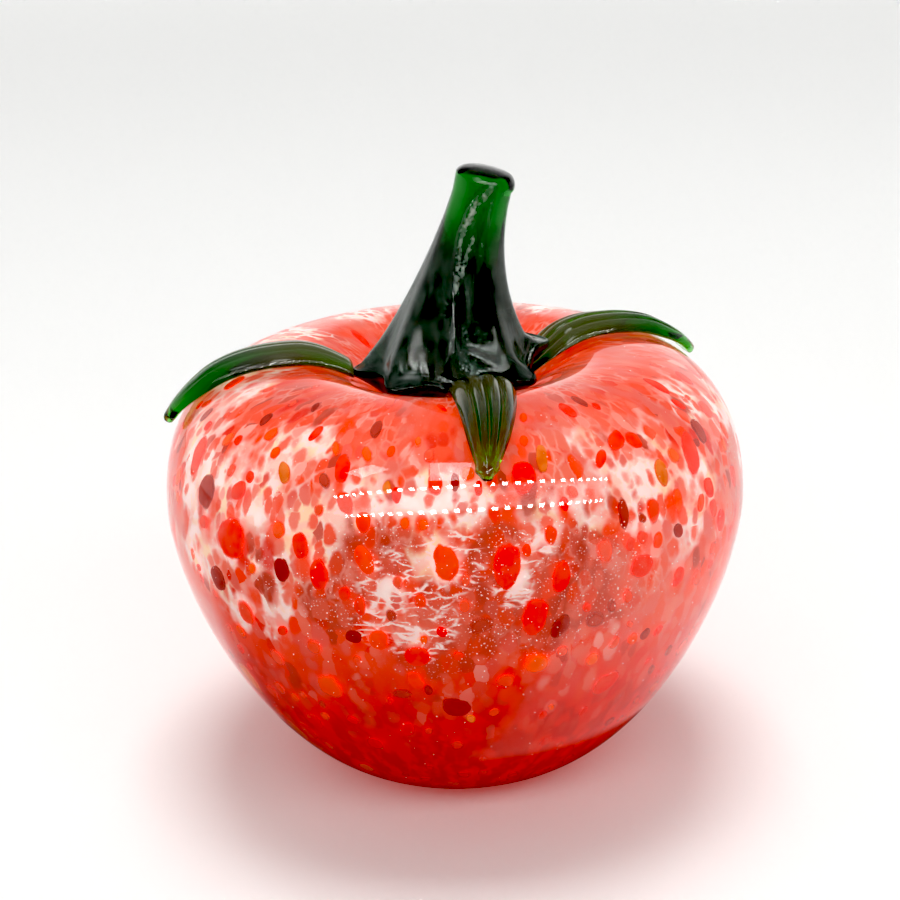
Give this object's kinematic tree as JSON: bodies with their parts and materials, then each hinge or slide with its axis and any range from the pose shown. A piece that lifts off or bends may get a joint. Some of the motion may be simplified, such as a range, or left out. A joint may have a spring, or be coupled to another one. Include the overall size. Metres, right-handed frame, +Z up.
{
  "type": "glass tomato ornament",
  "caption": "Hollow blown-glass tomato with coloured glass chips cased in clear glass, a leaning green stem and ribbed leaves; rests on a flat ground base.",
  "frame": {"origin": "centre of the flat ground base, on the surface that it stands on", "axes": "+Z up through the dip; +X to the right of someone who faces the front leaf, the way the stem leans; -Y towards the front leaf"},
  "size_m": [0.1, 0.1, 0.105],
  "materials": {
    "clear_glass": "high-gloss clear, fire polished",
    "white_powder": "milky white and pink, veined",
    "red_glass": "glossy translucent",
    "orange_glass": "glossy translucent",
    "dark_red_glass": "glossy translucent",
    "amber_glass": "glossy translucent",
    "green_glass": "high-gloss bottle green, nearly black where thick"
  },
  "bodies": {
    "root": {"amber_chip_01": "amber_glass", "amber_chip_02": "amber_glass", "amber_chip_03": "amber_glass", "amber_chip_04": "amber_glass", "amber_chip_05": "amber_glass", "amber_chip_06": "amber_glass", "clear_casing": "clear_glass", "dark_red_chip_01": "dark_red_glass", "dark_red_chip_02": "dark_red_glass", "dark_red_chip_03": "dark_red_glass", "dark_red_chip_04": "dark_red_glass", "dark_red_chip_05": "dark_red_glass", "dark_red_chip_06": "dark_red_glass", "inner_bubble": "clear_glass", "leaf_back": "green_glass", "leaf_front": "green_glass", "leaf_left": "green_glass", "leaf_right": "green_glass", "orange_chip_01": "orange_glass", "orange_chip_02": "orange_glass", "orange_chip_03": "orange_glass", "orange_chip_04": "orange_glass", "orange_chip_05": "orange_glass", "orange_chip_06": "orange_glass", "red_chip_01": "red_glass", "red_chip_02": "red_glass", "red_chip_03": "red_glass", "red_chip_04": "red_glass", "red_chip_05": "red_glass", "red_chip_06": "red_glass", "red_chip_07": "red_glass", "red_chip_08": "red_glass", "red_chip_09": "red_glass", "red_chip_10": "red_glass", "red_chip_11": "red_glass", "red_chip_12": "red_glass", "red_chip_13": "red_glass", "red_chip_14": "red_glass", "red_chip_15": "red_glass", "red_chip_16": "red_glass", "red_chip_17": "red_glass", "red_chip_18": "red_glass", "stem": "green_glass", "white_powder_layer": "white_powder"}
  },
  "joints": []
}
